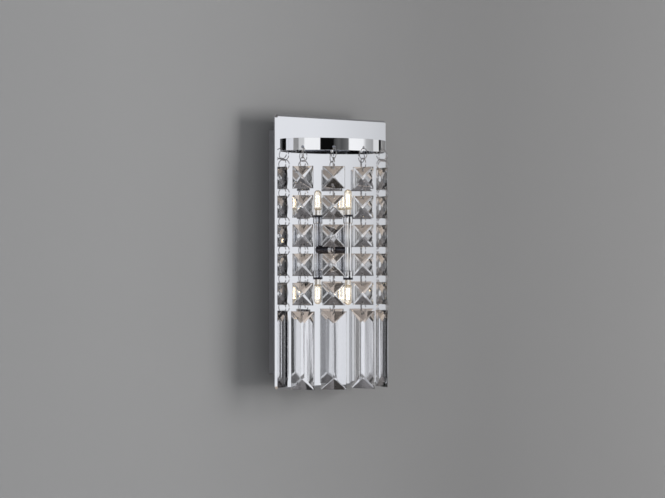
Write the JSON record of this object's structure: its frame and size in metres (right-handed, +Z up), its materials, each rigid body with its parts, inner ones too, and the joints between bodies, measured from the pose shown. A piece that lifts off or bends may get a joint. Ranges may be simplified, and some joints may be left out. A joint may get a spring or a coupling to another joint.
{
  "type": "crystal wall sconce",
  "caption": "Wall light: mirror plate on a back box, half-round crown band hung with strands of square crystals ending in long prisms, and an upright lamp tube with a capsule bulb at each end.",
  "frame": {"origin": "on the wall plane, midway between the two wall screw slots, behind the middle of the plate", "axes": "+Y into the wall, -Y out into the room, +Z up, +X to the right of someone facing the light"},
  "size_m": [0.175, 0.0892, 0.3004],
  "materials": {
    "mirror_chrome": "mirror-polished plate",
    "bright_chrome": "polished chrome plating",
    "black_nickel": "gloss black nickel",
    "zinc_steel": "bright zinc plating",
    "silver_paint": "satin silver paint",
    "crystal_glass": "cut and polished clear crystal",
    "prism_glass": "cut and polished clear crystal",
    "link_wire": "plated spring wire",
    "bulb_glass": "clear quartz",
    "pin_metal": "plain",
    "lamp_ceramic": "matt steatite",
    "case_plastic": "moulded",
    "block_plastic": "moulded",
    "rubber_black": "moulded",
    "lead_silicone": "silicone sleeving"
  },
  "bodies": {
    "fitting": {"wall_bracket": "zinc_steel", "cable_grommet": "rubber_black", "side_screws": "zinc_steel", "back_box": "silver_paint", "backplate": "mirror_chrome", "crown_band": "bright_chrome", "band_screws": "zinc_steel", "lamp_arm": "bright_chrome", "arm_nut": "zinc_steel", "arm_collar": "black_nickel", "lamp_tube": "bright_chrome", "lamp_cups": "bright_chrome", "lampholders": "lamp_ceramic", "transformer": "case_plastic", "terminal_block": "block_plastic", "inner_leads": "lead_silicone"},
    "strand_1_top": {"strand_1_upper_links": "link_wire", "strand_1_crystal_1": "crystal_glass", "strand_1_crystal_2": "crystal_glass", "strand_1_crystal_3": "crystal_glass"},
    "strand_1_bottom": {"strand_1_lower_links": "link_wire", "strand_1_crystal_4": "crystal_glass", "strand_1_crystal_5": "crystal_glass"},
    "strand_1_drop": {"strand_1_prism": "prism_glass"},
    "strand_2_top": {"strand_2_upper_links": "link_wire", "strand_2_crystal_1": "crystal_glass", "strand_2_crystal_2": "crystal_glass", "strand_2_crystal_3": "crystal_glass"},
    "strand_2_bottom": {"strand_2_lower_links": "link_wire", "strand_2_crystal_4": "crystal_glass", "strand_2_crystal_5": "crystal_glass"},
    "strand_2_drop": {"strand_2_prism": "prism_glass"},
    "strand_3_top": {"strand_3_upper_links": "link_wire", "strand_3_crystal_1": "crystal_glass", "strand_3_crystal_2": "crystal_glass", "strand_3_crystal_3": "crystal_glass"},
    "strand_3_bottom": {"strand_3_lower_links": "link_wire", "strand_3_crystal_4": "crystal_glass", "strand_3_crystal_5": "crystal_glass"},
    "strand_3_drop": {"strand_3_prism": "prism_glass"},
    "strand_4_top": {"strand_4_upper_links": "link_wire", "strand_4_crystal_1": "crystal_glass", "strand_4_crystal_2": "crystal_glass", "strand_4_crystal_3": "crystal_glass"},
    "strand_4_bottom": {"strand_4_lower_links": "link_wire", "strand_4_crystal_4": "crystal_glass", "strand_4_crystal_5": "crystal_glass"},
    "strand_4_drop": {"strand_4_prism": "prism_glass"},
    "strand_5_top": {"strand_5_upper_links": "link_wire", "strand_5_crystal_1": "crystal_glass", "strand_5_crystal_2": "crystal_glass", "strand_5_crystal_3": "crystal_glass"},
    "strand_5_bottom": {"strand_5_lower_links": "link_wire", "strand_5_crystal_4": "crystal_glass", "strand_5_crystal_5": "crystal_glass"},
    "strand_5_drop": {"strand_5_prism": "prism_glass"},
    "upper_bulb": {"upper_bulb_glass": "bulb_glass", "upper_bulb_pins": "pin_metal"},
    "lower_bulb": {"lower_bulb_glass": "bulb_glass", "lower_bulb_pins": "pin_metal"}
  },
  "joints": [
    {"name": "strand_1_swing", "type": "hinge", "parent": "fitting", "child": "strand_1_top", "pos_m": [-0.06354, -0.04518, 0.11435], "axis": [-0.49, 0.8717, 0], "range_deg": [0, 25]},
    {"name": "strand_1_bend", "type": "hinge", "parent": "strand_1_top", "child": "strand_1_bottom", "pos_m": [-0.06354, -0.04518, 0.00185], "axis": [-0.49, 0.8717, 0], "range_deg": [0, 18]},
    {"name": "strand_1_prism_swing", "type": "hinge", "parent": "strand_1_bottom", "child": "strand_1_drop", "pos_m": [-0.06354, -0.04518, -0.06195], "axis": [-0.49, 0.8717, 0], "range_deg": [-1, 24]},
    {"name": "strand_2_swing", "type": "hinge", "parent": "fitting", "child": "strand_2_top", "pos_m": [-0.03784, -0.06735, 0.11435], "axis": [-0.9076, 0.4198, 0], "range_deg": [-2, 25]},
    {"name": "strand_2_bend", "type": "hinge", "parent": "strand_2_top", "child": "strand_2_bottom", "pos_m": [-0.03784, -0.06735, 0.00185], "axis": [-0.9076, 0.4198, 0], "range_deg": [-4, 10]},
    {"name": "strand_2_prism_swing", "type": "hinge", "parent": "strand_2_bottom", "child": "strand_2_drop", "pos_m": [-0.03784, -0.06735, -0.06195], "axis": [-0.9076, 0.4198, 0], "range_deg": [-6, 12]},
    {"name": "strand_3_swing", "type": "hinge", "parent": "fitting", "child": "strand_3_top", "pos_m": [0, -0.0753, 0.11435], "axis": [-1, 0, 0], "range_deg": [-1, 25]},
    {"name": "strand_3_bend", "type": "hinge", "parent": "strand_3_top", "child": "strand_3_bottom", "pos_m": [0, -0.0753, -0.00415], "axis": [-1, 0, 0], "range_deg": [-2, 25]},
    {"name": "strand_3_prism_swing", "type": "hinge", "parent": "strand_3_bottom", "child": "strand_3_drop", "pos_m": [0, -0.0753, -0.06795], "axis": [-1, 0, 0], "range_deg": [-4, 25]},
    {"name": "strand_4_swing", "type": "hinge", "parent": "fitting", "child": "strand_4_top", "pos_m": [0.03784, -0.06735, 0.11435], "axis": [-0.9076, -0.4198, 0], "range_deg": [-2, 25]},
    {"name": "strand_4_bend", "type": "hinge", "parent": "strand_4_top", "child": "strand_4_bottom", "pos_m": [0.03784, -0.06735, 0.00185], "axis": [-0.9076, -0.4198, 0], "range_deg": [-4, 7]},
    {"name": "strand_4_prism_swing", "type": "hinge", "parent": "strand_4_bottom", "child": "strand_4_drop", "pos_m": [0.03784, -0.06735, -0.06195], "axis": [-0.9076, -0.4198, 0], "range_deg": [-6, 9]},
    {"name": "strand_5_swing", "type": "hinge", "parent": "fitting", "child": "strand_5_top", "pos_m": [0.06354, -0.04518, 0.11435], "axis": [-0.49, -0.8717, 0], "range_deg": [-1, 25]},
    {"name": "strand_5_bend", "type": "hinge", "parent": "strand_5_top", "child": "strand_5_bottom", "pos_m": [0.06354, -0.04518, 0.00185], "axis": [-0.49, -0.8717, 0], "range_deg": [-1, 16]},
    {"name": "strand_5_prism_swing", "type": "hinge", "parent": "strand_5_bottom", "child": "strand_5_drop", "pos_m": [0.06354, -0.04518, -0.06195], "axis": [-0.49, -0.8717, 0], "range_deg": [-1, 22]},
    {"name": "upper_bulb_pull", "type": "slide", "parent": "fitting", "child": "upper_bulb", "axis": [0, 0, 1], "range_m": [0, 0.01]},
    {"name": "lower_bulb_pull", "type": "slide", "parent": "fitting", "child": "lower_bulb", "axis": [0, 0, -1], "range_m": [0, 0.01]}
  ]
}
